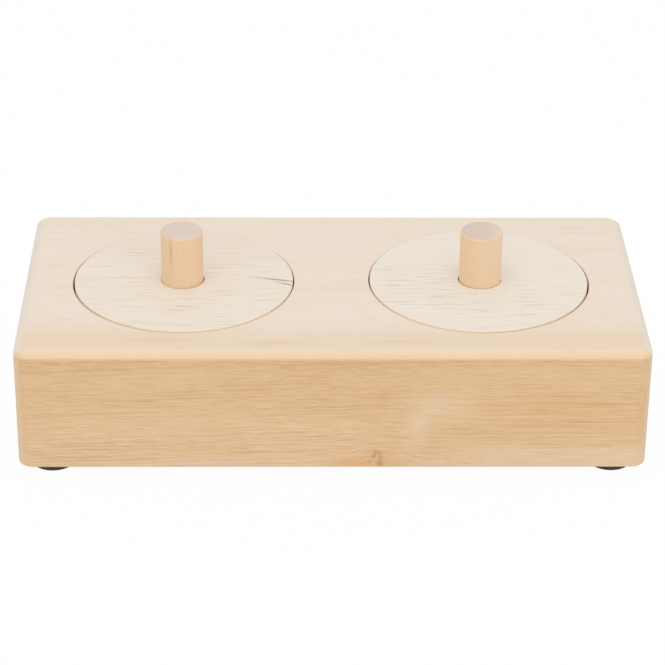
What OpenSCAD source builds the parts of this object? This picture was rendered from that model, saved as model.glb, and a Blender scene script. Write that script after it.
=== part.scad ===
// Bird treat puzzle box: a softwood block with two treat wells, each closed by a lift-out lid with a peg.
// Millimetres. X runs along the block, Y to the rear, Z up. The origin is on the surface that the feet
// stand on, under the middle of the block.

/* [Block] */
// Length of the block along X
block_l = 200; // [180:1:240]
// Depth of the block along Y
block_w = 100; // [92:1:130]
// Height of the block without its feet
block_h = 41; // [36:0.5:60]
// How far the eased top edge reaches in from the side, seen from above
ease_back = 3.8; // [2.5:0.1:6]
// How far the eased top edge reaches down the side, to the crease
ease_down = 1.6; // [0.8:0.1:2.4]
// Radius of the upright corners, seen from above
corner_r = 5; // [2:0.1:12]
// Radius that softens the lower edge
bottom_round = 0.6; // [0.3:0.1:1.5]

/* [Wells] */
// Distance between the centres of the two wells
well_spacing = 96.6; // [88:0.2:104]
// How far the wells lie behind the middle of the block
well_back = 0.35; // [0:0.05:1]
// Depth of each well below the ledge that carries the lid
well_depth = 20; // [8:0.5:24]
// Width of the ledge that carries the lid
ledge_w = 5; // [3:0.5:12]
// Radius between the wall and the floor of each well
well_fillet = 3; // [1:0.5:6]
// Radius that softens the mouth of each recess
mouth_round = 0.2; // [0.1:0.1:1]

/* [Lids] */
// Diameter of each lid
lid_d = 71.3; // [60:0.1:80]
// Thickness of each lid
lid_t = 10; // [6:0.5:12]
// Height of each lid above the block's top
lid_proud = 0.4; // [0:0.05:0.8]
// Gap round each lid, on the radius
lid_gap = 0.5; // [0.35:0.05:1]
// Gap that is left at the front, where the lid lies pushed forward in its recess
lid_rest = 0.2; // [0.15:0.05:0.35]
// How far each lid lies pushed towards the middle of the block
lid_in = 0.1; // [0:0.05:0.15]
// Radius that softens the edges of each lid
lid_round = 0.3; // [0.1:0.05:1.5]

/* [Pegs] */
// Diameter of each peg
peg_d = 13.7; // [10:0.1:18]
// Height of each peg above its lid
peg_out = 18; // [10:0.5:30]
// Gap round each peg in its bore, on the radius
peg_gap = 0.25; // [0.2:0.05:0.6]
// Gap that is left on the outer side, where the peg was pushed over in the glue
peg_rest = 0.15; // [0.05:0.05:0.2]
// Distance from the middle of each lid out to the middle of its bore
bore_off = 0.4; // [0:0.1:2]
// Radius that softens the ends of each peg
peg_round = 0.6; // [0.2:0.1:1.5]

/* [Feet] */
// Height of each foot
foot_h = 4; // [3.4:0.1:8]
// Diameter of each foot against the block
foot_d = 15; // [11:0.1:18]
// Diameter of each foot at its sole, above the rounded edge
foot_sole_d = 14.4; // [10:0.1:17]
// Radius that softens the edge of the sole
foot_round = 0.6; // [0.2:0.1:1]
// Distance from the ends of the block to the middle of each foot
foot_end_inset = 10.5; // [9:0.1:16]
// Distance from the front and the rear of the block to the middle of each foot
foot_edge_inset = 11.5; // [9:0.1:16]

/* [Screws] */
// Diameter of the screw's shank
screw_d = 2.8; // [2:0.1:3.5]
// Length of the screw below its head, point included
screw_len = 12; // [8:0.5:16]
// Length of the screw's point
screw_point = 3; // [1.5:0.5:4]
// Diameter of the screw's head
screw_head_d = 5.4; // [4.5:0.1:7]
// Height of the screw's head
screw_head_h = 1.6; // [1.2:0.1:2]
// Radius that rounds the screw's head
screw_head_round = 0.6; // [0.2:0.1:0.6]
// Height of the screw's head above the sole, so that it never scratches the table
screw_sink = 0.6; // [0.4:0.1:1]
// Gap round the screw's head in the foot, on the radius
head_gap = 0.4; // [0.2:0.1:0.8]
// Gap round the screw's shank in foot and block, on the radius
shank_gap = 0.1; // [0.05:0.05:0.2]
// Length of pilot hole left beyond the screw's point
pilot_spare = 1; // [0.5:0.5:4]

/* [Hidden] */
$fn = 96;
// Overlap of cuts past the surfaces that they open
cut = 1;
ease_r = (ease_back * ease_back + ease_down * ease_down) / (2 * ease_down);
top_z = foot_h + block_h;
ledge_z = top_z + lid_proud - lid_t;
floor_z = ledge_z - well_depth;
recess_r = lid_d / 2 + lid_gap;
well_r = recess_r - ledge_w;
lid_x = well_spacing / 2 - lid_in;
lid_y = well_back - lid_gap + lid_rest;
bore_r = peg_d / 2 + peg_gap;
peg_shift = peg_gap - peg_rest;
foot_x = block_l / 2 - foot_end_inset;
foot_y = block_w / 2 - foot_edge_inset;
head_seat_z = screw_sink + screw_head_h;
shank_r = screw_d / 2;
pilot_top_z = head_seat_z + screw_len + pilot_spare;

// Section of a turned solid from its axis out, its lower outer corner rounded
module lower_rounded_section(radius, height, round_r) {
    translate([0, round_r])
        square([radius, height - round_r]);
    square([radius - round_r, round_r]);
    translate([radius - round_r, round_r])
        circle(round_r);
}

// The same section with both outer corners rounded alike
module turned_section(radius, height, round_r) {
    intersection() {
        lower_rounded_section(radius, height, round_r);
        translate([0, height])
            mirror([0, 1])
                lower_rounded_section(radius, height, round_r);
    }
}

// Section of the block's border: x runs out from the corner's axis, y up from the lower face
module border_section() {
    lower_rounded_section(corner_r, block_h, bottom_round);
}

// What the top ease takes off that section: it ends in an arc that is level with the top at its inner
// end and meets the side at a crease
module ease_section() {
    inner_x = corner_r - ease_back;
    difference() {
        translate([inner_x, block_h - ease_down])
            square([ease_back + cut, ease_down + cut]);
        translate([inner_x, block_h - ease_r])
            circle(ease_r);
    }
}

// A straight length of a section, centred on Y, with the corner's axis on X = 0
module straight_run(length) {
    translate([0, length / 2, 0])
        rotate([90, 0, 0])
            linear_extrude(length)
                children();
}

// A border drawn to the right of its corner's axis, put on the left and the right end
module at_ends() {
    for (turn = [0, 180])
        rotate(turn)
            translate([block_l / 2 - corner_r, 0, 0])
                children();
}

// The same border on the front and the rear
module at_front_and_rear() {
    for (turn = [90, 270])
        rotate(turn)
            translate([block_w / 2 - corner_r, 0, 0])
                children();
}

// A section turned round the block's four upright corners
module at_corners() {
    for (sx = [-1, 1], sy = [-1, 1])
        translate([sx * (block_l / 2 - corner_r), sy * (block_w / 2 - corner_r), 0])
            rotate(sy > 0 ? (sx > 0 ? 0 : 90) : (sx > 0 ? 270 : 180))
                rotate_extrude(angle = 90)
                    children();
}

// The block before it is cut: a core with a border round it, eased along the top of sides and corners
module block_blank() {
    core_l = block_l - 2 * corner_r;
    core_w = block_w - 2 * corner_r;
    difference() {
        union() {
            translate([-core_l / 2, -core_w / 2, 0])
                cube([core_l, core_w, block_h]);
            at_ends()
                straight_run(core_w)
                    border_section();
            at_front_and_rear()
                straight_run(core_l)
                    border_section();
            at_corners()
                border_section();
        }
        at_ends()
            straight_run(block_w + 2 * cut)
                ease_section();
        at_front_and_rear()
            straight_run(block_l + 2 * cut)
                ease_section();
        at_corners()
            intersection() {
                ease_section();
                square([corner_r + cut, block_h + cut]);
            }
    }
}

// The space of one well and of the lid's recess above it
module well_cut() {
    rotate_extrude() {
        translate([0, floor_z])
            lower_rounded_section(well_r, well_depth + cut, well_fillet);
        translate([0, ledge_z])
            square([recess_r, top_z - ledge_z + cut]);
        translate([0, top_z - mouth_round])
            difference() {
                square([recess_r + mouth_round, mouth_round + cut]);
                translate([recess_r + mouth_round, 0])
                    circle(mouth_round);
            }
    }
}

// Children on each of the four feet
module at_feet() {
    for (sx = [-1, 1], sy = [-1, 1])
        translate([sx * foot_x, sy * foot_y, 0])
            children();
}

module block() {
    color("burlywood")
        difference() {
            translate([0, 0, foot_h])
                block_blank();
            for (side = [-1, 1])
                translate([side * well_spacing / 2, well_back, 0])
                    well_cut();
            at_feet()
                translate([0, 0, foot_h - cut])
                    cylinder(r = shank_r + shank_gap, h = pilot_top_z - foot_h + cut);
        }
}

// side is -1 for the left and 1 for the right
module lid(side) {
    color("bisque")
        translate([side * lid_x, lid_y, ledge_z])
            difference() {
                rotate_extrude()
                    turned_section(lid_d / 2, lid_t, lid_round);
                translate([side * bore_off, 0, -cut])
                    cylinder(r = bore_r, h = lid_t + 2 * cut);
            }
}

module peg(side) {
    color("tan")
        translate([side * (lid_x + bore_off + peg_shift), lid_y, ledge_z])
            rotate_extrude()
                turned_section(peg_d / 2, lid_t + peg_out, peg_round);
}

// Section of a foot: its wall drafts in towards the sole, whose edge is rounded
module foot_section() {
    sole_r = foot_sole_d / 2;
    polygon([[0, foot_round], [sole_r, foot_round], [foot_d / 2, foot_h], [0, foot_h]]);
    square([sole_r - foot_round, foot_round]);
    intersection() {
        translate([sole_r - foot_round, foot_round])
            circle(foot_round);
        square([sole_r, foot_round]);
    }
}

// sx is -1 for the left and 1 for the right, sy is -1 for the front and 1 for the rear
module foot(sx, sy) {
    color("dimgray")
        translate([sx * foot_x, sy * foot_y, 0])
            difference() {
                rotate_extrude()
                    foot_section();
                translate([0, 0, -cut])
                    cylinder(d = screw_head_d + 2 * head_gap, h = head_seat_z + cut);
                cylinder(r = shank_r + shank_gap, h = foot_h + cut);
            }
}

// One pan-head screw, point up
module screw() {
    translate([0, 0, screw_sink])
        rotate_extrude()
            lower_rounded_section(screw_head_d / 2, screw_head_h, screw_head_round);
    translate([0, 0, head_seat_z])
        cylinder(r = shank_r, h = screw_len - screw_point);
    translate([0, 0, head_seat_z + screw_len - screw_point])
        cylinder(r1 = shank_r, r2 = 0, h = screw_point);
}

module foot_screws() {
    color("silver")
        at_feet()
            screw();
}

block();
lid(-1);  // lid_left
lid(1);  // lid_right
peg(-1);  // peg_left
peg(1);  // peg_right
foot(-1, -1);  // foot_front_left
foot(1, -1);  // foot_front_right
foot(-1, 1);  // foot_rear_left
foot(1, 1);  // foot_rear_right
foot_screws();
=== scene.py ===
"""Looks of the bird treat puzzle box: a softwood block, two lids with pegs, and four rubber feet.

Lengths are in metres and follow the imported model. Inside the materials, places are in millimetres.
"""

import math

import bmesh
import bpy
from bpy.props import FloatProperty, FloatVectorProperty, PointerProperty
from mathutils import Matrix, Vector


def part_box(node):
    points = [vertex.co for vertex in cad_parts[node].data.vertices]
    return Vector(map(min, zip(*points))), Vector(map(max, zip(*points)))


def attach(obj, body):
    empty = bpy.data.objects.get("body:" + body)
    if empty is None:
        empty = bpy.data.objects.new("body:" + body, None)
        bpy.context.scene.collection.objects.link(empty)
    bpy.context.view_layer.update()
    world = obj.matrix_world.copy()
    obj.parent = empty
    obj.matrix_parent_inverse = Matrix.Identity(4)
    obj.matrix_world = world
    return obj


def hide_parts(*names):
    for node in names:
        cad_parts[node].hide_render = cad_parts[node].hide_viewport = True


bl_info = {
    "name": "Bird treat puzzle box",
    "version": (1, 0, 0),
    "blender": (4, 5, 0),
    "location": "View3D > Sidebar > Treat Box",
    "description": "Models the pieces of a wooden treat puzzle box on its packed frame, and a plain stage",
    "category": "Add Mesh",
}

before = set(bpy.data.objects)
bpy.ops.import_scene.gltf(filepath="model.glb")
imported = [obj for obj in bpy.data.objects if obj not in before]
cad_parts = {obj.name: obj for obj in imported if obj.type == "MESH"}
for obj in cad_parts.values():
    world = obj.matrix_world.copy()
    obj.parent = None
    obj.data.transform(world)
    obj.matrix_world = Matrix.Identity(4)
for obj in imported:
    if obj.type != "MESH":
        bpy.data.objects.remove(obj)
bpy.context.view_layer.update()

SIDES = ("left", "right")
FEET = ("front_left", "front_right", "rear_left", "rear_right")
# Points that are closer than this are one point
TOUCH = 0.00001
SHARP_ANGLE = math.radians(32)
# Steps of the turned and the rounded forms
LARGE_RING_STEPS = 160
PEG_STEPS = 72
FOOT_STEPS = 56
SCREW_STEPS = 40
CORNER_STEPS = 12
FILLET_STEPS = 8
EASE_BANDS = 9
BOTTOM_BANDS = 4
# Reach of the fine ring round each recess, as a multiple of the radius that softens its mouth
MOUTH_RIM = 2.5
# Share of its width that the cross in a screw's head keeps at its floor
CROSS_TAPER = 0.8
# The block's front and top in the materials, in millimetres
FRONT = -50.0
TOP = 45.0
MILLIMETRES = (1000.0, 1000.0, 1000.0)
# Paper, lamps and camera
WHITE = (1.0, 1.0, 1.0, 1.0)
PAPER_SIZE = 6.0
PAPER_DROP = 0.0001
OVERHEAD_PLACE = (0.0, -0.35, 1.0)
OVERHEAD_SIZE = 1.0
FRONT_PLACE = (0.0, -1.3, 0.5)
FRONT_SIZE = 0.9
LAMP_TARGET = (0.0, 0.0, 0.03)
SENSOR_WIDTH = 36.0
CLIP_START = 0.01
CLIP_END = 50.0


def seen(red, green, blue):
    """A colour as it looks on screen, 0 to 255, turned into Blender's linear values."""
    shares = [value / 255 for value in (red, green, blue)]
    return tuple(
        share / 12.92 if share <= 0.04045 else ((share + 0.055) / 1.055) ** 2.4 for share in shares
    )


def length(name, description, default):
    """A length in metres for one of the property groups."""
    return FloatProperty(
        name=name, description=description, default=default, min=0.0, unit="LENGTH", precision=5
    )


def colour(name, description, default):
    """A colour for one of the property groups."""
    return FloatVectorProperty(
        name=name, description=description, default=default, min=0.0, max=1.0, size=3, subtype="COLOR"
    )


class TreatBoxSizes(bpy.types.PropertyGroup):
    """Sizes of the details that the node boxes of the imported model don't give."""

    ease_back: length("Ease back", "How far the eased top edge reaches in from the side", 0.0038)
    ease_down: length("Ease down", "How far the eased top edge reaches down to its crease", 0.0016)
    corner_radius: length("Corner radius", "Radius of the block's upright corners", 0.005)
    bottom_round: length("Bottom round", "Radius that softens the block's lower edge", 0.0006)
    lid_gap: length("Lid gap", "Gap round each lid in its recess", 0.0005)
    lid_ahead: length("Lid ahead", "How far each lid lies pushed forward in its recess", 0.0003)
    lid_in: length("Lid in", "How far each lid lies pushed towards the block's middle", 0.0001)
    ledge_width: length("Ledge width", "Width of the ledge that carries each lid", 0.005)
    well_depth: length("Well depth", "Depth of each well below its ledge", 0.02)
    well_fillet: length("Well fillet", "Radius between the wall and the floor of each well", 0.003)
    mouth_round: length("Mouth round", "Radius that softens the mouth of each recess", 0.0002)
    lid_swell: length("Lid swell", "How far each lid's wood has swollen past its solid", 0.0002)
    lid_round: length("Lid round", "Radius that softens the edges of each lid", 0.0003)
    peg_gap: length("Peg gap", "Gap round each peg in its bore", 0.00025)
    bore_shift: length("Bore shift", "How far each bore lies outwards from its lid's middle", 0.0004)
    peg_round: length("Peg round", "Radius that softens the ends of each peg", 0.0006)
    foot_round: length("Foot round", "Radius that softens the sole of each foot", 0.0006)
    foot_draft: length("Foot draft", "How far each foot narrows towards its sole", 0.0003)
    screw_sink: length("Screw sink", "Height of the screw's head above the sole", 0.0006)
    head_radius: length("Head radius", "Radius of the screw's head", 0.0027)
    head_height: length("Head height", "Height of the screw's head", 0.0016)
    head_round: length("Head round", "Radius that rounds the screw's head", 0.0006)
    head_gap: length("Head gap", "Gap round the screw's head in its foot", 0.0004)
    shank_radius: length("Shank radius", "Radius of the screw's shank", 0.0014)
    shank_gap: length("Shank gap", "Gap round the screw's shank", 0.0001)
    point_length: length("Point length", "Length of the screw's point", 0.003)
    pilot_spare: length("Pilot spare", "Pilot hole left beyond the screw's point", 0.001)
    cross_arm: length("Cross arm", "Reach of the cross in the screw's head, from its middle", 0.0015)
    cross_width: length("Cross width", "Width of the arms of the cross", 0.0007)
    cross_depth: length("Cross depth", "Depth of the cross in the screw's head", 0.0009)


class TreatBoxColours(bpy.types.PropertyGroup):
    """Colours of the woods, the rubber and the steel."""

    side_pale: colour("Side pale", "Early wood on the block's sides", seen(239, 209, 168))
    side_mid: colour("Side middle", "Middle tone of the block's sides", seen(228, 191, 145))
    side_dark: colour("Side dark", "Late wood on the block's sides", seen(198, 148, 94))
    # The front's eased edge is paler towards the top: a painted highlight and sheen over the wood.
    ease_low: colour("Ease low", "Eased edge of the front, at its crease", seen(238, 203, 157))
    ease_high: colour("Ease high", "Eased edge of the front, at the top", seen(241, 215, 183))
    rim: colour("Rim", "Eased edge of the ends and the rear", seen(234, 221, 207))
    # The top's colours are paler than the sides' partly as a painted sheen, over pale wood.
    top_pale: colour("Top pale", "Early wood on the block's top", seen(241, 229, 215))
    top_mid: colour("Top middle", "Middle tone of the block's top", seen(237, 221, 205))
    top_dark: colour("Top dark", "Late wood on the block's top", seen(219, 193, 167))
    strip: colour("Front strip", "Warmer wood along the front of the top", seen(233, 209, 179))
    end_grain: colour("End grain", "End grain at the upright corners and the ends", seen(236, 209, 174))
    end_dark: colour("End grain dark", "Late wood in the end grain", seen(216, 180, 140))
    # Painted shade: this tone darkens the walls of the wells and recesses.
    cut: colour("Cut walls", "Tone that darkens the walls of the wells", seen(230, 202, 172))
    bleached: colour("Bleached", "Pale patches on the front", seen(238, 214, 186))
    knot: colour("Knot", "Bark ring of the knot at the foot of the front", seen(168, 108, 58))
    knot_eye: colour("Knot eye", "Dark eye of the knot", seen(126, 92, 52))
    flare: colour("Flare", "Warm wood round the knot and on the right", seen(226, 170, 104))
    lid_pale: colour("Lid pale", "Early wood of the lids", seen(242, 232, 219))
    lid_mid: colour("Lid middle", "Middle tone of the left lid", seen(237, 225, 209))
    lid_light: colour("Lid light", "Middle tone of the right lid", seen(237, 227, 213))
    lid_shade: colour("Lid shade", "Duller wood at the rear of the left lid", seen(232, 216, 199))
    lid_dark: colour("Lid dark", "Late wood of the left lid", seen(208, 184, 158))
    lid_grey: colour("Lid grey", "Greyer late wood of the right lid", seen(200, 188, 174))
    # Painted light: the lids' sides are made near white to stand in for light on them down in the gaps.
    lid_side_painted_light: colour("Lid side", "Freshly turned wood on the lids' sides", seen(255, 238, 206))
    resin: colour("Resin", "Dark resin streaks in the left lid and peg", seen(118, 62, 34))
    # Peg pale also paints the highlight down the right peg's right side.
    peg_pale: colour("Peg pale", "Early wood of the pegs", seen(247, 221, 189))
    peg_mid: colour("Peg middle", "Middle tone of the pegs", seen(241, 208, 171))
    peg_dark: colour("Peg dark", "Late wood of the pegs", seen(210, 164, 120))
    peg_end: colour("Peg end", "End grain on top of the pegs", seen(224, 206, 192))
    peg_end_dark: colour("Peg end dark", "Rings in the end grain of the pegs", seen(206, 182, 164))
    rubber: colour("Rubber", "Black rubber of the feet", seen(38, 38, 39))
    rubber_dust: colour("Rubber dust", "Pale bloom on the rubber", seen(66, 65, 64))
    zinc: colour("Zinc", "Zinc plating of the screws", seen(196, 197, 200))
    zinc_dull: colour("Zinc dull", "Duller patches of the plating", seen(170, 171, 172))


class TreatBoxStage(bpy.types.PropertyGroup):
    """Camera and light."""

    camera_place: FloatVectorProperty(
        name="Camera place",
        description="Where the camera stands",
        default=(-0.0155682, -0.747767, 0.4311083),
        size=3,
        subtype="TRANSLATION",
        unit="LENGTH",
    )
    camera_yaw: FloatProperty(
        name="Camera yaw", description="Turn to the right", default=0.021569, unit="ROTATION"
    )
    camera_pitch: FloatProperty(
        name="Camera pitch", description="Turn downwards", default=0.49665, unit="ROTATION"
    )
    camera_roll: FloatProperty(
        name="Camera roll",
        description="Turn about the line of sight",
        default=-0.010602,
        unit="ROTATION",
    )
    camera_lens: FloatProperty(
        name="Lens", description="Focal length in millimetres", default=139.014, min=1.0, unit="CAMERA"
    )
    sky: FloatProperty(
        name="Sky", description="Strength of the even light from all round", default=0.76, min=0.0
    )
    overhead: FloatProperty(
        name="Overhead", description="Power of the large lamp above", default=3.0, min=0.0, unit="POWER"
    )
    front: FloatProperty(
        name="Front", description="Power of the lamp in front", default=0.8, min=0.0, unit="POWER"
    )
    floor: colour("Floor", "White paper under the object", seen(246, 246, 246))
    paper_glow: FloatProperty(
        name="Paper glow",
        description="Share of plain white in the paper as the camera sees it",
        default=0.97,
        min=0.0,
        max=1.0,
        subtype="FACTOR",
    )


class Graph:
    """The nodes of one material, which are added and linked one at a time."""

    def __init__(self, name):
        self.material = bpy.data.materials.new(name)
        self.material.use_nodes = True
        self.tree = self.material.node_tree
        self.shader = self.tree.nodes["Principled BSDF"]

    def feed(self, socket, value):
        """Links another socket to this one, or sets its value."""
        if isinstance(value, bpy.types.NodeSocket):
            self.tree.links.new(value, socket)
        else:
            socket.default_value = value

    def add(self, kind, inputs=None, **settings):
        """A new node with those settings and inputs."""
        node = self.tree.nodes.new(kind)
        for key, value in settings.items():
            setattr(node, key, value)
        for key, value in (inputs or {}).items():
            self.feed(node.inputs[key], value)
        return node

    def math(self, operation, *values):
        """The result of a Math node."""
        node = self.add("ShaderNodeMath", operation=operation)
        for socket, value in zip(node.inputs, values):
            self.feed(socket, value)
        return node.outputs[0]

    def vector(self, operation, *values):
        """The result of a Vector Math node that gives a vector."""
        node = self.add("ShaderNodeVectorMath", operation=operation)
        for socket, value in zip(node.inputs, values):
            self.feed(socket, value)
        return node.outputs["Vector"]

    def split(self, vector):
        """The three parts of a vector."""
        return self.add("ShaderNodeSeparateXYZ", {"Vector": vector}).outputs[:]

    def join(self, along, across, up):
        """A vector of three values."""
        return self.add("ShaderNodeCombineXYZ", {"X": along, "Y": across, "Z": up}).outputs["Vector"]

    def total(self, first, *others):
        """The sum of several values."""
        for other in others:
            first = self.math("ADD", first, other)
        return first

    def times(self, first, second):
        """The product of two values."""
        return self.math("MULTIPLY", first, second)

    def largest(self, first, *others):
        """The largest of several values."""
        for other in others:
            first = self.math("MAXIMUM", first, other)
        return first

    def size(self, value):
        """A value without its sign."""
        return self.math("ABSOLUTE", value)

    def weigh(self, value, weight):
        """Noise about its middle, times a weight."""
        return self.times(self.math("SUBTRACT", value, 0.5), weight)

    def noise(self, place, reach, detail=2.0, roughness=0.5):
        """Noise whose forms are about that long along each axis."""
        scaled = self.vector("DIVIDE", place, reach)
        inputs = {"Vector": scaled, "Scale": 1.0, "Detail": detail, "Roughness": roughness}
        return self.add("ShaderNodeTexNoise", inputs).outputs["Fac"]

    def hump(self, place, centre, reach, turn=0.0):
        """A soft spot: 1 at its centre, falling to nothing at about twice its reach."""
        inputs = {"Vector": place, "Location": centre, "Rotation": (0.0, 0.0, turn), "Scale": reach}
        local = self.add("ShaderNodeMapping", inputs, vector_type="TEXTURE").outputs["Vector"]
        dot = self.add("ShaderNodeVectorMath", {0: local, 1: local}, operation="DOT_PRODUCT")
        return self.math("EXPONENT", self.times(dot.outputs["Value"], -1.0))

    def ring(self, place, centre, reach, width):
        """A soft ring round a centre, which it passes at that reach along each axis."""
        inputs = {"Vector": place, "Location": centre, "Scale": reach}
        local = self.add("ShaderNodeMapping", inputs, vector_type="TEXTURE").outputs["Vector"]
        away = self.add("ShaderNodeVectorMath", {0: local}, operation="LENGTH").outputs["Value"]
        off = self.math("DIVIDE", self.math("SUBTRACT", away, 1.0), width)
        return self.math("EXPONENT", self.times(self.times(off, off), -1.0))

    def remap(self, value, low, high, to_low=0.0, to_high=1.0):
        """A smooth step from one range to another."""
        inputs = {"Value": value, "From Min": low, "From Max": high}
        inputs.update({"To Min": to_low, "To Max": to_high})
        node = self.add("ShaderNodeMapRange", inputs, interpolation_type="SMOOTHSTEP")
        return node.outputs["Result"]

    def ramp(self, value, *stops):
        """A colour between stops, each a place and a colour."""
        node = self.add("ShaderNodeValToRGB", {"Fac": value})
        elements = node.color_ramp.elements
        while len(elements) < len(stops):
            elements.new(1.0)
        for element, (place, tint) in zip(elements, stops):
            element.position = place
            element.color = (*tint, 1.0)
        return node.outputs["Color"]

    def blend(self, factor, first, second, mode="MIX"):
        """One colour over another."""
        node = self.add("ShaderNodeMix", data_type="RGBA", blend_type=mode)
        self.feed(node.inputs[0], factor)
        for socket, value in zip(node.inputs[6:8], (first, second)):
            self.feed(socket, value if isinstance(value, bpy.types.NodeSocket) else (*value, 1.0))
        return node.outputs[2]

    def finish(self, tint, roughness, height, depth):
        """Links colour, roughness and bump to the shader."""
        bump = self.add("ShaderNodeBump", {"Height": height, "Distance": depth, "Strength": 1.0})
        self.feed(self.shader.inputs["Base Color"], tint)
        self.feed(self.shader.inputs["Roughness"], roughness)
        self.feed(self.shader.inputs["Normal"], bump.outputs["Normal"])
        return self.material


def grain_place(graph, turn=(0.0, 0.0, 0.0)):
    """Place in millimetres, turned so that X runs along the grain, and the surface's direction."""
    coordinates = graph.add("ShaderNodeTexCoord")
    inputs = {"Vector": coordinates.outputs["Object"], "Rotation": turn, "Scale": MILLIMETRES}
    place = graph.add("ShaderNodeMapping", inputs).outputs["Vector"]
    return place, graph.split(coordinates.outputs["Normal"])


def softwood(graph, place, layers, ring_width):
    """Figure of sanded softwood: growth lines from 0 to 1, then fibre and cloud about 0.

    layers is the distance across the growth rings in millimetres.
    """
    waver = graph.noise(place, (26.0, 5.0, 5.0))
    ripple = graph.noise(place, (5.0, 1.6, 1.6))
    layers = graph.total(layers, graph.weigh(waver, 1.6), graph.weigh(ripple, 0.5))
    rings = graph.math("DIVIDE", layers, ring_width)
    inputs = {"W": rings, "Scale": 0.4}
    uneven = graph.add("ShaderNodeTexNoise", inputs, noise_dimensions="1D").outputs["Fac"]
    phase = graph.math("FRACT", graph.total(rings, graph.weigh(uneven, 2.0)))
    rise = graph.remap(phase, 0.4, 0.86)
    fall = graph.remap(phase, 0.88, 1.0, 1.0, 0.0)
    patchy = graph.remap(graph.noise(place, (22.0, 2.2, 2.2)), 0.38, 0.62, 0.25, 1.0)
    lines = graph.times(graph.times(rise, fall), patchy)
    fibre = graph.noise(place, (9.0, 0.5, 0.5), 3.0, 0.6)
    hair = graph.noise(place, (3.2, 0.33, 0.33), 1.0)
    fine = graph.total(graph.weigh(fibre, 1.0), graph.weigh(hair, 0.6))
    cloud = graph.weigh(graph.noise(place, (40.0, 9.0, 9.0)), 1.0)
    return lines, fine, cloud


def wood_finish(graph, wood, lines, fine, depth):
    """Sanded wood, a little smoother in its dense lines, with the fibres just raised."""
    roughness = graph.remap(lines, 0.0, 1.0, 0.62, 0.52)
    return graph.finish(wood, roughness, graph.math("MULTIPLY_ADD", lines, 0.5, fine), depth)


def block_wood(colours):
    """Softwood of the block: grain along X, warm sides, a top made paler partly as a painted sheen, and
    wells darkened as painted shade.
    """
    graph = Graph("block_softwood")
    place, normal = grain_place(graph)
    along, across, up = graph.split(place)
    lean = graph.times(graph.math("SMOOTH_MIN", along, 25.0, 30.0), -0.032)
    arch = graph.times(graph.hump(place, (14.0, FRONT, 6.0), (10.0, 40.0, 11.0)), -6.0)
    crown = graph.math("DIVIDE", graph.math("POWER", graph.math("ADD", across, 42.0), 2.0), 900.0)
    lines, fine, cloud = softwood(graph, place, graph.total(up, lean, arch, crown), 1.35)
    outer = graph.largest(
        graph.remap(graph.size(along), 94.0, 96.0),
        graph.remap(graph.size(across), 44.0, 46.0),
    )
    outside = graph.largest(outer, graph.remap(up, 6.0, 5.0))
    side = block_side(graph, colours, place, normal, lines, fine, cloud)
    # Painted shade: inside the outline, the walls of the wells and recesses are multiplied by the darker
    # wall tone.
    side = graph.blend(outside, graph.blend(1.0, side, colours.cut, "MULTIPLY"), side)
    top = block_top(graph, colours, place, lines, fine, cloud)
    # Painted highlight and sheen: the front's eased edge grows paler as it turns up to the top.
    rise = graph.remap(normal[2], 0.7, 0.99)
    warm = graph.ramp(rise, (0.0, colours.ease_low), (1.0, colours.ease_high))
    endways = graph.math("MULTIPLY_ADD", graph.size(normal[0]), 0.45, normal[1])
    front = graph.remap(endways, 0.0, -0.05)
    edge = graph.blend(front, colours.rim, warm)
    fibres = graph.ramp(fine, (0.0, (1.0, 1.0, 1.0)), (0.6, (0.9, 0.86, 0.8)))
    edge = graph.blend(1.0, edge, fibres, "MULTIPLY")
    eased = graph.largest(
        graph.times(graph.remap(normal[2], 0.999, 0.993), front),
        graph.remap(normal[2], 0.975, 0.9),
    )
    top = graph.blend(graph.times(outer, eased), top, edge)
    # The top's colour, partly a painted sheen, goes on level faces and on every face above 42.4 mm. So the
    # upper walls of the recesses, seen in the gaps round the lids, are painted pale as painted light in
    # place of their shade.
    level = graph.largest(graph.remap(normal[2], 0.6, 0.7), graph.remap(up, 42.4, 43.6))
    wood = graph.blend(level, side, top)
    return wood_finish(graph, wood, lines, fine, depth=0.00004)


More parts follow.
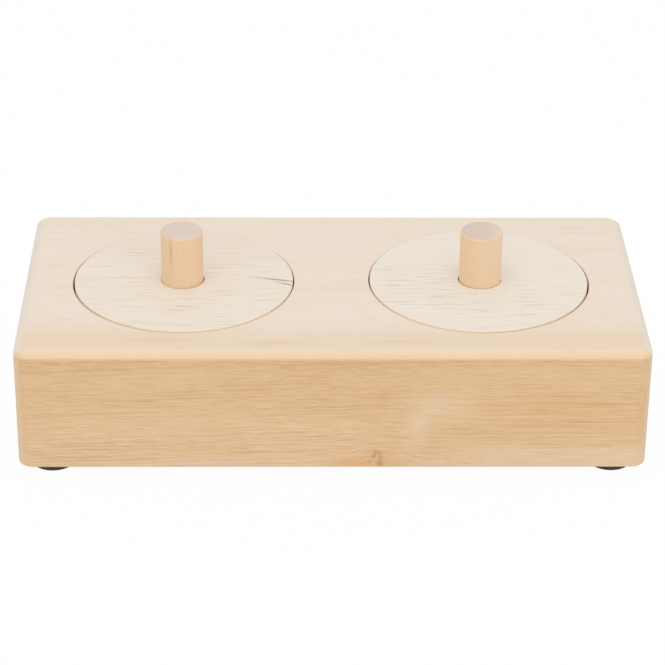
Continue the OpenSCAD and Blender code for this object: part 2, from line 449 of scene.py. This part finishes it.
def block_side(graph, colours, place, normal, lines, fine, cloud):
    """Colour of the block's sides: long lines to the right, pale spots, the knot, and end grain."""
    along, across, up = graph.split(place)
    bold = graph.total(
        graph.times(graph.hump(place, (66.0, FRONT, 20.0), (36.0, 60.0, 9.0)), 0.5),
        graph.times(graph.hump(place, (-40.0, FRONT, 9.0), (60.0, 60.0, 8.0)), 0.8),
        graph.times(graph.hump(place, (14.0, FRONT, 13.0), (10.0, 60.0, 6.0)), 0.5),
        0.4,
    )
    upper = graph.hump(place, (33.0, FRONT, 27.5), (10.0, 12.0, 4.0))
    lower = graph.hump(place, (27.0, FRONT, 19.5), (3.6, 12.0, 6.5))
    patch = graph.largest(upper, lower)
    ticks = graph.noise(place, (0.8, 4.0, 3.0), 3.0)
    foot_edge = graph.total(up, graph.weigh(graph.noise(place, (50.0, 9.0, 9.0)), 3.0))
    foot = graph.times(graph.remap(foot_edge, 13.0, 10.6), graph.remap(along, 26.0, 58.0))
    straight = graph.hump(place, (76.0, FRONT, 20.0), (42.0, 60.0, 11.0))
    threads = graph.weigh(graph.noise(place, (45.0, 0.6, 0.6), 3.0, 0.6), 1.3)
    mottle = graph.noise(place, (10.0, 1.6, 1.6), 3.0)
    turned = graph.remap(graph.size(normal[0]), 0.15, 0.5, 1.0, 0.3)
    sharp = graph.times(graph.remap(up, 28.0, 12.0, 0.6, 0.88), turned)
    sharp = graph.times(sharp, graph.remap(straight, 0.0, 1.0, 1.0, 0.55))
    tone = graph.total(
        0.4,
        graph.times(graph.times(lines, bold), 0.34),
        graph.times(fine, sharp),
        graph.times(graph.times(threads, straight), 1.05),
        graph.times(cloud, 0.24),
        graph.times(graph.remap(up, 37.0, 43.4), 0.08),
        graph.times(foot, -0.12),
        graph.times(graph.hump(place, (0.0, FRONT, 36.0), (50.0, 30.0, 9.0)), 0.06),
        graph.times(graph.weigh(ticks, 0.35), patch),
        graph.weigh(mottle, 0.12),
    )
    wood = graph.ramp(
        tone, (0.1, colours.side_pale), (0.42, colours.side_mid), (0.95, colours.side_dark)
    )
    pale = graph.total(
        graph.times(patch, 0.45),
        graph.times(foot, 0.25),
        graph.times(graph.hump(place, (-38.0, FRONT, 4.5), (32.0, 30.0, 4.0)), 0.42),
        graph.times(graph.hump(place, (31.0, FRONT, 4.5), (8.0, 30.0, 4.0)), 0.3),
        graph.remap(up, 30.0, 14.0, 0.0, 0.16),
    )
    wood = graph.blend(graph.times(straight, 0.2), wood, colours.flare)
    wood = block_knot(graph, colours, place, graph.blend(pale, wood, colours.bleached))
    pores = graph.noise(place, (3.0, 0.5, 0.5), 3.0, 0.6)
    ringed = graph.remap(graph.size(across), 47.0, 40.0, 0.2, 0.55)
    end_figure = graph.total(lines, graph.weigh(pores, 1.1))
    end_tone = graph.math("MULTIPLY_ADD", end_figure, ringed, 0.3)
    end = graph.ramp(end_tone, (0.0, colours.end_grain), (1.0, colours.end_dark))
    left_end = graph.times(normal[0], -1.0)
    right_end = graph.times(normal[0], 0.86)
    return graph.blend(graph.remap(graph.largest(left_end, right_end), 0.5, 0.8), wood, end)


def block_knot(graph, colours, place, wood):
    """A knot cut by the front's lower edge: a ragged ring, a dark eye, and warm wood beside them."""
    ragged = graph.remap(graph.noise(place, (1.6, 1.6, 1.6)), 0.4, 0.62)
    bend = graph.weigh(graph.noise(place, (3.0, 3.0, 3.0)), 7.0)
    bent = graph.vector("ADD", place, graph.join(0.0, 0.0, bend))
    warm = graph.times(graph.hump(place, (7.0, FRONT, 5.8), (6.5, 9.0, 1.5), -0.07), 0.6)
    wide = graph.times(graph.hump(place, (9.0, FRONT, 6.5), (12.0, 9.0, 4.0)), 0.22)
    right = graph.times(graph.hump(place, (21.0, FRONT, 5.0), (5.0, 9.0, 1.8)), 0.25)
    halo = graph.times(graph.hump(place, (14.6, FRONT, 6.0), (3.4, 9.0, 4.6)), 0.4)
    flare = graph.largest(warm, wide, right, halo)
    wood = graph.blend(flare, wood, colours.flare)
    bark = graph.times(graph.ring(bent, (14.6, FRONT, 5.0), (2.7, 20.0, 3.8), 0.26), ragged)
    bark = graph.times(bark, graph.remap(graph.split(place)[2], 5.5, 7.5, 0.12, 0.42))
    wood = graph.blend(bark, wood, colours.knot)
    eye = graph.hump(place, (15.0, FRONT, 5.6), (0.9, 5.0, 1.2))
    return graph.blend(graph.times(eye, 0.45), wood, colours.knot_eye)


def block_top(graph, colours, place, lines, fine, cloud):
    """Colour of the block's top: pale, partly as a painted sheen, with sparse dashes and a warmer strip
    along the front.
    """
    along, across = graph.split(place)[:2]
    dashes = graph.remap(graph.noise(place, (6.0, 0.8, 0.8)), 0.64, 0.74)
    tone = graph.total(
        0.42,
        graph.times(lines, 0.08),
        graph.times(fine, 0.34),
        graph.times(cloud, 0.3),
        graph.times(dashes, 0.3),
    )
    wood = graph.ramp(tone, (0.1, colours.top_pale), (0.45, colours.top_mid), (1.0, colours.top_dark))
    strip_edge = graph.total(across, graph.weigh(graph.noise(place, (60.0, 6.0, 30.0)), 5.0))
    strip = graph.total(
        graph.remap(strip_edge, -32.0, -24.0, 0.24, 0.0),
        graph.remap(strip_edge, -36.4, -33.2, 0.4, 0.0),
    )
    strip = graph.times(strip, graph.remap(graph.size(along), 20.0, 80.0, 0.86, 1.14))
    wood = graph.blend(strip, wood, graph.blend(1.0, wood, colours.strip, "DARKEN"))
    tongues = graph.largest(
        tongue(graph, place, -55.0, -40.5),
        tongue(graph, place, -19.0, -42.5),
        tongue(graph, place, 22.0, -41.8),
    )
    return graph.blend(graph.times(tongues, 0.3), wood, colours.strip, "MULTIPLY")


def tongue(graph, place, along, across):
    """A soft tongue of late wood that points left."""
    return graph.hump(place, (along, across, TOP), (11.0, 1.7, 9.0), 0.05)


def lid_wood(colours, side):
    """Pale softwood of one lid: fine dashes along X, resin streaks in the left one, and sides lightened as
    painted light.
    """
    graph = Graph("lid_softwood_" + side)
    place, normal = grain_place(graph)
    across, up = graph.split(place)[1:]
    left = side == "left"
    layers = graph.math("MULTIPLY_ADD", across, -0.45 if left else 0.55, up)
    lines, fine, cloud = softwood(graph, place, layers, 1.5)
    dashes = graph.remap(graph.noise(place, (14.0, 0.6, 0.6)), 0.56, 0.68)
    if left:
        front = graph.hump(place, (-48.0, -14.0, TOP), (30.0, 13.0, 30.0))
        rear = graph.hump(place, (-66.0, 17.0, TOP), (20.0, 9.0, 30.0))
        far = graph.hump(place, (-28.0, 11.0, TOP), (14.0, 9.0, 30.0))
        dense = graph.largest(front, rear, far)
    else:
        front = graph.hump(place, (46.0, -17.0, TOP), (34.0, 12.0, 30.0))
        inner = graph.hump(place, (26.0, 0.0, TOP), (16.0, 8.0, 30.0))
        dense = graph.largest(front, inner)
    tone = graph.total(
        0.36,
        graph.times(lines, 0.1),
        graph.times(fine, 0.3),
        graph.times(cloud, 0.2),
        graph.times(dashes, graph.math("MULTIPLY_ADD", dense, 0.3 if left else 0.42, 0.16)),
    )
    dark = colours.lid_dark if left else colours.lid_grey
    body = colours.lid_mid if left else colours.lid_light
    wood = graph.ramp(tone, (0.1, colours.lid_pale), (0.42, body), (1.0, dark))
    # Painted light: the lids' sides are lightened towards a near-white colour in place of the shade in the
    # gap round each lid.
    sides = graph.remap(graph.size(normal[2]), 0.3, 0.8, 1.0, 0.0)
    wood = graph.blend(graph.times(sides, 0.8), wood, colours.lid_side_painted_light)
    if left:
        wood = graph.blend(graph.remap(across, 6.0, 26.0, 0.0, 0.55), wood, colours.lid_shade)
        first = graph.hump(place, (-17.5, -0.4, TOP), (6.6, 0.4, 6.0), -0.22)
        second = graph.hump(place, (-14.6, -3.5, TOP), (3.6, 0.36, 6.0), -0.42)
        streaks = graph.largest(first, second)
        wood = graph.blend(graph.times(streaks, 0.75), wood, colours.resin)
        thread = graph.hump(place, (-68.0, 1.0, TOP), (12.0, 0.35, 6.0))
        wood = graph.blend(graph.times(thread, 0.18), wood, colours.resin)
    return wood_finish(graph, wood, lines, fine, depth=0.00003)


def peg_wood(colours):
    """Dowel wood: grain along Z, end grain on top, and a painted highlight down the right peg's right
    side.
    """
    graph = Graph("peg_dowel")
    place, normal = grain_place(graph, (0.0, math.radians(90.0), 0.0))
    across, depth = graph.split(place)[1:]
    lines, fine, cloud = softwood(graph, place, graph.math("MULTIPLY_ADD", across, 0.5, depth), 1.8)
    tone = graph.total(
        0.38,
        graph.times(lines, 0.04),
        graph.times(fine, 0.2),
        graph.times(cloud, 0.2),
    )
    wood = graph.ramp(tone, (0.1, colours.peg_pale), (0.42, colours.peg_mid), (1.0, colours.peg_dark))
    ripe = graph.total(tone, graph.remap(depth, 1.0, -1.0, 0.0, 0.22))
    end = graph.ramp(ripe, (0.3, colours.peg_end), (1.0, colours.peg_end_dark))
    wood = graph.blend(graph.remap(graph.size(normal[2]), 0.6, 0.95), wood, end)
    # Painted highlight: a paler patch down the right side of the right peg, where the light falls.
    paler = graph.hump(place, (55.0, -3.0, -55.0), (30.0, 9.0, 4.0))
    wood = graph.blend(graph.times(paler, 0.5), wood, colours.peg_pale)
    streak = graph.hump(place, (58.5, -6.0, 52.1), (4.5, 1.5, 0.4))
    wood = graph.blend(graph.times(streak, 0.3), wood, colours.resin)
    return wood_finish(graph, wood, lines, fine, depth=0.00003)


def foot_rubber(colours):
    """Matt moulded rubber with a faint bloom."""
    graph = Graph("foot_black_rubber")
    place = grain_place(graph)[0]
    bloom = graph.noise(place, (3.0, 3.0, 3.0), 3.0, 0.6)
    speck = graph.noise(place, (0.25, 0.25, 0.25))
    tint = graph.ramp(bloom, (0.35, colours.rubber), (0.75, colours.rubber_dust))
    return graph.finish(tint, graph.remap(bloom, 0.3, 0.7, 0.5, 0.68), speck, 0.00003)


def screw_zinc(colours):
    """Bright zinc plating, a little dull in patches."""
    graph = Graph("screw_zinc")
    place = grain_place(graph)[0]
    dull = graph.noise(place, (0.8, 0.8, 0.8), 3.0, 0.6)
    fine = graph.noise(place, (0.12, 0.12, 0.12))
    tint = graph.ramp(dull, (0.35, colours.zinc), (0.7, colours.zinc_dull))
    graph.shader.inputs["Metallic"].default_value = 1.0
    return graph.finish(tint, graph.remap(dull, 0.3, 0.7, 0.26, 0.4), fine, 0.00001)


def spin_profile(bm, profile, centre, steps, closed=False):
    """Turns a profile of (radius, height) points about the upright axis through the centre."""
    verts = [bm.verts.new((centre.x + radius, centre.y, height)) for radius, height in profile]
    ends = verts[1:] + verts[:1] if closed else verts[1:]
    edges = [bm.edges.new(pair) for pair in zip(verts, ends)]
    bmesh.ops.spin(
        bm,
        geom=verts + edges,
        cent=(centre.x, centre.y, 0.0),
        axis=(0.0, 0.0, 1.0),
        angle=math.tau,
        steps=steps,
        use_merge=True,
    )
    bmesh.ops.remove_doubles(bm, verts=bm.verts[:], dist=TOUCH)


def arc(radius_at, height_at, round_radius, start, end, steps=5):
    """Points of an arc in a profile, between two angles in degrees."""
    angles = [math.radians(start + (end - start) * step / steps) for step in range(steps + 1)]
    return [
        (radius_at + round_radius * math.cos(angle), height_at + round_radius * math.sin(angle))
        for angle in angles
    ]


def ring_edges(bm, centre, radius, height):
    """The edges of a ring about the upright axis through the centre."""
    found = []
    for edge in bm.edges:
        reaches = [math.hypot(v.co.x - centre.x, v.co.y - centre.y) for v in edge.verts]
        near = all(abs(reach - radius) < TOUCH for reach in reaches)
        if near and all(abs(v.co.z - height) < TOUCH for v in edge.verts):
            found.append(edge)
    return found


def round_edges(bm, edges, radius, segments=4):
    """Rounds edges to a radius."""
    bmesh.ops.bevel(
        bm,
        geom=edges,
        offset=radius,
        offset_type="OFFSET",
        segments=segments,
        profile=0.5,
        affect="EDGES",
        material=-1,
    )


def middle(node):
    """The middle of a node's box."""
    low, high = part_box(node)
    return (Vector(low) + Vector(high)) / 2


def half_width(node):
    """Half of a node's width along X."""
    low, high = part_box(node)
    return (high[0] - low[0]) / 2


def make_piece(bm, name, material, body, node):
    """Closes a mesh, makes it an object that stands for a node, and puts it on its body."""
    bmesh.ops.remove_doubles(bm, verts=bm.verts[:], dist=TOUCH)
    bmesh.ops.recalc_face_normals(bm, faces=bm.faces[:])
    if not all(edge.is_manifold for edge in bm.edges):
        raise RuntimeError(name + " isn't closed")
    for face in bm.faces:
        face.smooth = True
    for edge in bm.edges:
        edge.smooth = edge.calc_face_angle() < SHARP_ANGLE
    mesh = bpy.data.meshes.new(name)
    bm.to_mesh(mesh)
    bm.free()
    mesh.materials.append(material)
    piece = bpy.data.objects.new(name, mesh)
    bpy.context.scene.collection.objects.link(piece)
    normals = piece.modifiers.new("even_shading", "WEIGHTED_NORMAL")
    normals.keep_sharp = True
    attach(piece, body)
    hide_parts(node)
    return piece


def block_shell(sizes):
    """The block's outside: a plate with round corners, raised to the crease and eased to the top."""
    low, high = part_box("block")
    bm = bmesh.new()
    bmesh.ops.create_grid(bm, x_segments=1, y_segments=1, size=0.5)
    bmesh.ops.scale(bm, vec=(high[0] - low[0], high[1] - low[1], 1.0), verts=bm.verts[:])
    bmesh.ops.translate(bm, vec=(0.0, 0.0, low[2] + sizes.bottom_round), verts=bm.verts[:])
    bmesh.ops.bevel(
        bm,
        geom=bm.verts[:],
        offset=sizes.corner_radius,
        offset_type="OFFSET",
        segments=CORNER_STEPS,
        profile=0.5,
        affect="VERTICES",
        material=-1,
    )
    bottom = bm.faces[:][0]
    raised = bmesh.ops.extrude_face_region(bm, geom=[bottom], use_keep_orig=True)["geom"]
    top = next(part for part in raised if isinstance(part, bmesh.types.BMFace))
    wall = high[2] - low[2] - sizes.bottom_round - sizes.ease_down
    bmesh.ops.translate(bm, vec=(0.0, 0.0, wall), verts=top.verts[:])
    bmesh.ops.recalc_face_normals(bm, faces=bm.faces[:])
    ease_radius = (sizes.ease_back**2 + sizes.ease_down**2) / (2 * sizes.ease_down)
    crease = math.asin(sizes.ease_back / ease_radius)
    ease_bands(bm, top, ease_radius, crease, EASE_BANDS)
    ease_bands(bm, bottom, sizes.bottom_round, math.radians(90.0), BOTTOM_BANDS)
    return bm, top, bottom


def ease_bands(bm, face, radius, start, bands):
    """Insets a face in steps along an arc, from a tilt to level."""
    tilts = [start - start * band / bands for band in range(bands + 1)]
    for steep, flat in zip(tilts, tilts[1:]):
        bmesh.ops.inset_region(
            bm,
            faces=[face],
            thickness=radius * (math.sin(steep) - math.sin(flat)),
            depth=radius * (math.cos(flat) - math.cos(steep)),
            use_even_offset=True,
            use_boundary=True,
        )


def open_face(bm, face, profiles, steps):
    """Takes a level face out, spins each profile in it, and fills what is left between their rings."""
    direction = face.normal.copy()
    level = face.calc_center_median().z
    bmesh.ops.delete(bm, geom=[face], context="FACES_ONLY")
    for centre, profile in profiles:
        spin_profile(bm, profile, centre, steps)
    open_edges = [edge for edge in bm.edges if edge.is_boundary]
    rim = [edge for edge in open_edges if all(abs(v.co.z - level) < TOUCH for v in edge.verts)]
    bmesh.ops.triangle_fill(bm, edges=rim, normal=direction, use_beauty=True)


class TREATBOX_OT_block(bpy.types.Operator):
    """Model the block with its two stepped wells"""

    bl_idname = "treat_box.block"
    bl_label = "Block"

    def execute(self, context):
        sizes = context.scene.treat_box_sizes
        bm, top, bottom = block_shell(sizes)
        wells = []
        for side in SIDES:
            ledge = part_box("lid_" + side)[0][2]
            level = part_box("block")[1][2]
            recess = half_width("lid_" + side) + sizes.lid_gap
            well = recess - sizes.ledge_width
            floor = ledge - sizes.well_depth
            soft = sizes.mouth_round
            mouth = arc(recess + soft, level - soft, soft, 90, 180)
            turn = sizes.well_fillet
            fillet = arc(well - turn, floor + turn, turn, 0, -90, FILLET_STEPS)
            rim = (recess + MOUTH_RIM * soft, level)
            profile = [rim, *mouth, (recess, ledge), (well, ledge), *fillet, (0.0, floor)]
            outward = -sizes.lid_in if side == "left" else sizes.lid_in
            centre = middle("lid_" + side) + Vector((outward, sizes.lid_ahead, 0.0))
            wells.append((centre, profile))
        open_face(bm, top, wells, LARGE_RING_STEPS)
        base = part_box("block")[0][2]
        hole = sizes.shank_radius + sizes.shank_gap
        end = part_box("foot_screws")[1][2] + sizes.pilot_spare
        pilot = [(hole, base), (hole, end), (0.0, end)]
        pilots = [(middle("foot_" + foot), pilot) for foot in FEET]
        open_face(bm, bottom, pilots, SCREW_STEPS)
        material = block_wood(context.scene.treat_box_colours)
        make_piece(bm, "wood_block", material, "box", "block")
        return {"FINISHED"}


class TREATBOX_OT_lids(bpy.types.Operator):
    """Model the two round lids, each bored for its peg"""

    bl_idname = "treat_box.lids"
    bl_label = "Lids"

    def execute(self, context):
        sizes = context.scene.treat_box_sizes
        for side in SIDES:
            node = "lid_" + side
            low, high = (corner[2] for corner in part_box(node))
            high += sizes.lid_swell
            centre = middle(node) + Vector((0.0, 0.0, sizes.lid_swell / 2))
            radius = half_width(node)
            bore = half_width("peg_" + side) + sizes.peg_gap
            bm = bmesh.new()
            bmesh.ops.create_cone(
                bm,
                cap_ends=True,
                segments=LARGE_RING_STEPS,
                radius1=radius,
                radius2=radius,
                depth=high - low,
                matrix=Matrix.Translation(centre),
            )
            rims = ring_edges(bm, centre, radius, low) + ring_edges(bm, centre, radius, high)
            round_edges(bm, rims, sizes.lid_round)
            bottom, top = sorted(bm.faces, key=lambda face: face.calc_area())[-2:]
            outward = -sizes.bore_shift if side == "left" else sizes.bore_shift
            bore_centre = centre + Vector((outward, 0.0, 0.0))
            open_face(bm, top, [(bore_centre, [(bore, low), (bore, high)])], PEG_STEPS)
            open_face(bm, bottom, [], PEG_STEPS)
            material = lid_wood(context.scene.treat_box_colours, side)
            make_piece(bm, "wood_lid_" + side, material, side + "_lid", node)
        return {"FINISHED"}


class TREATBOX_OT_pegs(bpy.types.Operator):
    """Model the two dowel pegs"""

    bl_idname = "treat_box.pegs"
    bl_label = "Pegs"

    def execute(self, context):
        sizes = context.scene.treat_box_sizes
        material = peg_wood(context.scene.treat_box_colours)
        for side in SIDES:
            node = "peg_" + side
            low, high = (corner[2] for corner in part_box(node))
            centre = middle(node)
            radius = half_width(node)
            bm = bmesh.new()
            profile = [(0.0, low), (radius, low), (radius, high), (0.0, high)]
            spin_profile(bm, profile, centre, PEG_STEPS)
            rims = ring_edges(bm, centre, radius, low) + ring_edges(bm, centre, radius, high)
            round_edges(bm, rims, sizes.peg_round)
            make_piece(bm, "wood_peg_" + side, material, side + "_lid", node)
        return {"FINISHED"}


class TREATBOX_OT_feet(bpy.types.Operator):
    """Model the four rubber feet, each with a sunk seat for its screw"""

    bl_idname = "treat_box.feet"
    bl_label = "Feet"

    def execute(self, context):
        sizes = context.scene.treat_box_sizes
        material = foot_rubber(context.scene.treat_box_colours)
        for foot in FEET:
            node = "foot_" + foot
            low, high = (corner[2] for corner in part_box(node))
            centre = middle(node)
            radius = half_width(node)
            sole = radius - sizes.foot_draft
            seat = sizes.screw_sink + sizes.head_height
            recess = sizes.head_radius + sizes.head_gap
            hole = sizes.shank_radius + sizes.shank_gap
            bm = bmesh.new()
            inside = [(hole, seat), (recess, seat), (recess, low)]
            outside = [(sole, low), (radius, high), (hole, high)]
            spin_profile(bm, inside + outside, centre, FOOT_STEPS, closed=True)
            round_edges(bm, ring_edges(bm, centre, sole, low), sizes.foot_round)
            round_edges(bm, ring_edges(bm, centre, recess, low), sizes.foot_round / 3, 2)
            make_piece(bm, "rubber_foot_" + foot, material, "box", node)
        return {"FINISHED"}


def cut_cross(bm, centre, sizes):
    """Sinks a cross into the flat face of a screw's head that looks down at the floor."""
    arm, half = sizes.cross_arm, sizes.cross_width / 2
    made = bmesh.ops.create_grid(bm, x_segments=3, y_segments=3, size=1.0)["verts"]
    for vert in made:
        vert.co.x = math.copysign(arm if abs(vert.co.x) > 0.5 else half, vert.co.x)
        vert.co.y = math.copysign(arm if abs(vert.co.y) > 0.5 else half, vert.co.y)
    bmesh.ops.translate(bm, vec=(centre.x, centre.y, sizes.screw_sink), verts=made)
    cells = {face for vert in made for face in vert.link_faces}
    corners = [cell for cell in cells if all(abs(part) > half for part in cell_offset(cell, centre))]
    bmesh.ops.delete(bm, geom=corners, context="FACES")
    cross = [cell for cell in cells if cell.is_valid]
    rim = [edge for edge in bm.edges if edge.is_boundary]
    sunk = bmesh.ops.extrude_face_region(bm, geom=cross)["geom"]
    floor = [part for part in sunk if isinstance(part, bmesh.types.BMVert)]
    bmesh.ops.delete(bm, geom=cross, context="FACES_KEEP_BOUNDARY")
    bmesh.ops.translate(bm, vec=(0.0, 0.0, sizes.cross_depth), verts=floor)
    bmesh.ops.scale(
        bm,
        vec=(CROSS_TAPER, CROSS_TAPER, 1.0),
        verts=floor,
        space=Matrix.Translation((-centre.x, -centre.y, 0.0)),
    )
    bmesh.ops.triangle_fill(bm, edges=[edge for edge in rim if edge.is_valid], normal=(0.0, 0.0, -1.0))


def cell_offset(cell, centre):
    """How far a face's middle lies from a centre along X and Y."""
    spot = cell.calc_center_median()
    return spot.x - centre.x, spot.y - centre.y


class TREATBOX_OT_screws(bpy.types.Operator):
    """Model the four screws that hold the feet"""

    bl_idname = "treat_box.screws"
    bl_label = "Screws"

    def execute(self, context):
        sizes = context.scene.treat_box_sizes
        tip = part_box("foot_screws")[1][2]
        seat = sizes.screw_sink + sizes.head_height
        flat = sizes.head_radius - sizes.head_round
        dome = arc(flat, sizes.screw_sink + sizes.head_round, sizes.head_round, -90, 0)
        profile = [
            (flat - sizes.cross_width / 4, sizes.screw_sink),
            *dome,
            (sizes.head_radius, seat),
            (sizes.shank_radius, seat),
            (sizes.shank_radius, tip - sizes.point_length),
            (0.0, tip),
        ]
        whole = bmesh.new()
        for foot in FEET:
            centre = middle("foot_" + foot)
            bm = bmesh.new()
            spin_profile(bm, profile, centre, SCREW_STEPS)
            cut_cross(bm, centre, sizes)
            part = bpy.data.meshes.new("screw_" + foot)
            bm.to_mesh(part)
            bm.free()
            whole.from_mesh(part)
            bpy.data.meshes.remove(part)
        material = screw_zinc(context.scene.treat_box_colours)
        make_piece(whole, "zinc_screws", material, "box", "foot_screws")
        return {"FINISHED"}


def add_lamp(name, place, size, power):
    """A square soft lamp that looks at the object."""
    data = bpy.data.lights.new(name, "AREA")
    data.shape = "SQUARE"
    data.size = size
    data.energy = power
    lamp = bpy.data.objects.new(name, data)
    lamp.location = place
    aim = Vector(LAMP_TARGET) - Vector(place)
    lamp.rotation_euler = aim.to_track_quat("-Z", "Y").to_euler()
    bpy.context.scene.collection.objects.link(lamp)


def white_share(tree, glow):
    """How much of plain white a ray sees: the share for camera, mirrors and glass, none for light."""
    rays = tree.nodes.new("ShaderNodeLightPath").outputs
    seen_by = rays["Is Camera Ray"]
    for other in ("Is Glossy Ray", "Is Transmission Ray"):
        joined = tree.nodes.new("ShaderNodeMath")
        joined.operation = "MAXIMUM"
        tree.links.new(seen_by, joined.inputs[0])
        tree.links.new(rays[other], joined.inputs[1])
        seen_by = joined.outputs[0]
    share = tree.nodes.new("ShaderNodeMath")
    share.operation = "MULTIPLY"
    share.inputs[1].default_value = glow
    tree.links.new(seen_by, share.inputs[0])
    return share.outputs[0]


def paper_material(stage):
    """White paper that keeps a soft shadow."""
    graph = Graph("white_paper")
    tooth = graph.noise(graph.add("ShaderNodeTexCoord").outputs["Object"], (0.004, 0.004, 0.004))
    bump = graph.add("ShaderNodeBump", {"Height": tooth, "Distance": 0.00002})
    graph.shader.inputs["Base Color"].default_value = (*stage.floor, 1.0)
    graph.shader.inputs["Roughness"].default_value = 0.9
    graph.shader.inputs["Specular IOR Level"].default_value = 0.1
    graph.feed(graph.shader.inputs["Normal"], bump.outputs["Normal"])
    white = graph.add("ShaderNodeEmission", {"Color": WHITE, "Strength": 1.0})
    mixed = graph.add("ShaderNodeMixShader", {0: white_share(graph.tree, stage.paper_glow)})
    graph.feed(mixed.inputs[1], graph.shader.outputs[0])
    graph.feed(mixed.inputs[2], white.outputs[0])
    graph.feed(graph.tree.nodes["Material Output"].inputs["Surface"], mixed.outputs[0])
    return graph.material


class TREATBOX_OT_stage(bpy.types.Operator):
    """Set up the paper floor, the light and the camera"""

    bl_idname = "treat_box.stage"
    bl_label = "Stage"

    def execute(self, context):
        scene = context.scene
        stage = scene.treat_box_stage
        bm = bmesh.new()
        bmesh.ops.create_grid(bm, x_segments=1, y_segments=1, size=PAPER_SIZE)
        bmesh.ops.translate(bm, vec=(0.0, 0.0, -PAPER_DROP), verts=bm.verts[:])
        mesh = bpy.data.meshes.new("paper")
        bm.to_mesh(mesh)
        bm.free()
        mesh.materials.append(paper_material(stage))
        paper = bpy.data.objects.new("paper", mesh)
        scene.collection.objects.link(paper)
        self.light(scene, stage)
        self.camera(scene, stage)
        scene.view_settings.view_transform = "Standard"
        return {"FINISHED"}

    def light(self, scene, stage):
        """Even light from all round, a large lamp above and a weaker one in front."""
        world = bpy.data.worlds.new("studio")
        world.use_nodes = True
        tree = world.node_tree
        even = tree.nodes["Background"]
        even.inputs["Color"].default_value = WHITE
        even.inputs["Strength"].default_value = stage.sky
        white = tree.nodes.new("ShaderNodeBackground")
        white.inputs["Color"].default_value = WHITE
        white.inputs["Strength"].default_value = 1.0
        mixed = tree.nodes.new("ShaderNodeMixShader")
        tree.links.new(white_share(tree, 1.0), mixed.inputs[0])
        tree.links.new(even.outputs[0], mixed.inputs[1])
        tree.links.new(white.outputs[0], mixed.inputs[2])
        tree.links.new(mixed.outputs[0], tree.nodes["World Output"].inputs["Surface"])
        scene.world = world
        add_lamp("overhead_lamp", OVERHEAD_PLACE, OVERHEAD_SIZE, stage.overhead)
        add_lamp("front_lamp", FRONT_PLACE, FRONT_SIZE, stage.front)

    def camera(self, scene, stage):
        """The photo's view, from its place, its three turns and its lens."""
        pitch, yaw, roll = stage.camera_pitch, stage.camera_yaw, stage.camera_roll
        ahead = Vector(
            (math.sin(yaw) * math.cos(pitch), math.cos(yaw) * math.cos(pitch), -math.sin(pitch))
        )
        right = Vector((math.cos(yaw), -math.sin(yaw), 0.0))
        down = ahead.cross(right)
        rolled_right = math.cos(roll) * right + math.sin(roll) * down
        rolled_up = math.sin(roll) * right - math.cos(roll) * down
        data = bpy.data.cameras.new("photo_view")
        data.sensor_width = SENSOR_WIDTH
        data.lens = stage.camera_lens
        data.clip_start = CLIP_START
        data.clip_end = CLIP_END
        camera = bpy.data.objects.new("photo_view", data)
        turn = Matrix((rolled_right, rolled_up, -ahead)).transposed()
        camera.matrix_world = Matrix.Translation(stage.camera_place) @ turn.to_4x4()
        scene.collection.objects.link(camera)
        scene.camera = camera


class TREATBOX_PT_panel(bpy.types.Panel):
    """The pieces and their settings"""

    bl_idname = "TREATBOX_PT_panel"
    bl_label = "Treat Box"
    bl_space_type = "VIEW_3D"
    bl_region_type = "UI"
    bl_category = "Treat Box"

    def draw(self, context):
        for operator in OPERATORS:
            self.layout.operator(operator.bl_idname)
        for group in GROUPS:
            settings = getattr(context.scene, GROUPS[group])
            box = self.layout.box()
            for key in group.__annotations__:
                box.prop(settings, key)


OPERATORS = (
    TREATBOX_OT_block,
    TREATBOX_OT_lids,
    TREATBOX_OT_pegs,
    TREATBOX_OT_feet,
    TREATBOX_OT_screws,
    TREATBOX_OT_stage,
)
GROUPS = {
    TreatBoxSizes: "treat_box_sizes",
    TreatBoxColours: "treat_box_colours",
    TreatBoxStage: "treat_box_stage",
}


def register():
    """Adds the settings, the operators and the panel."""
    for group, key in GROUPS.items():
        bpy.utils.register_class(group)
        setattr(bpy.types.Scene, key, PointerProperty(type=group))
    for item in (*OPERATORS, TREATBOX_PT_panel):
        bpy.utils.register_class(item)


def unregister():
    """Takes the panel, the operators and the settings out again."""
    for item in (TREATBOX_PT_panel, *reversed(OPERATORS)):
        bpy.utils.unregister_class(item)
    for group, key in GROUPS.items():
        delattr(bpy.types.Scene, key)
        bpy.utils.unregister_class(group)


def main():
    """Models every piece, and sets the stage."""
    register()
    bpy.ops.treat_box.block()
    bpy.ops.treat_box.lids()
    bpy.ops.treat_box.pegs()
    bpy.ops.treat_box.feet()
    bpy.ops.treat_box.screws()
    bpy.ops.treat_box.stage()


if __name__ == "__main__":
    main()
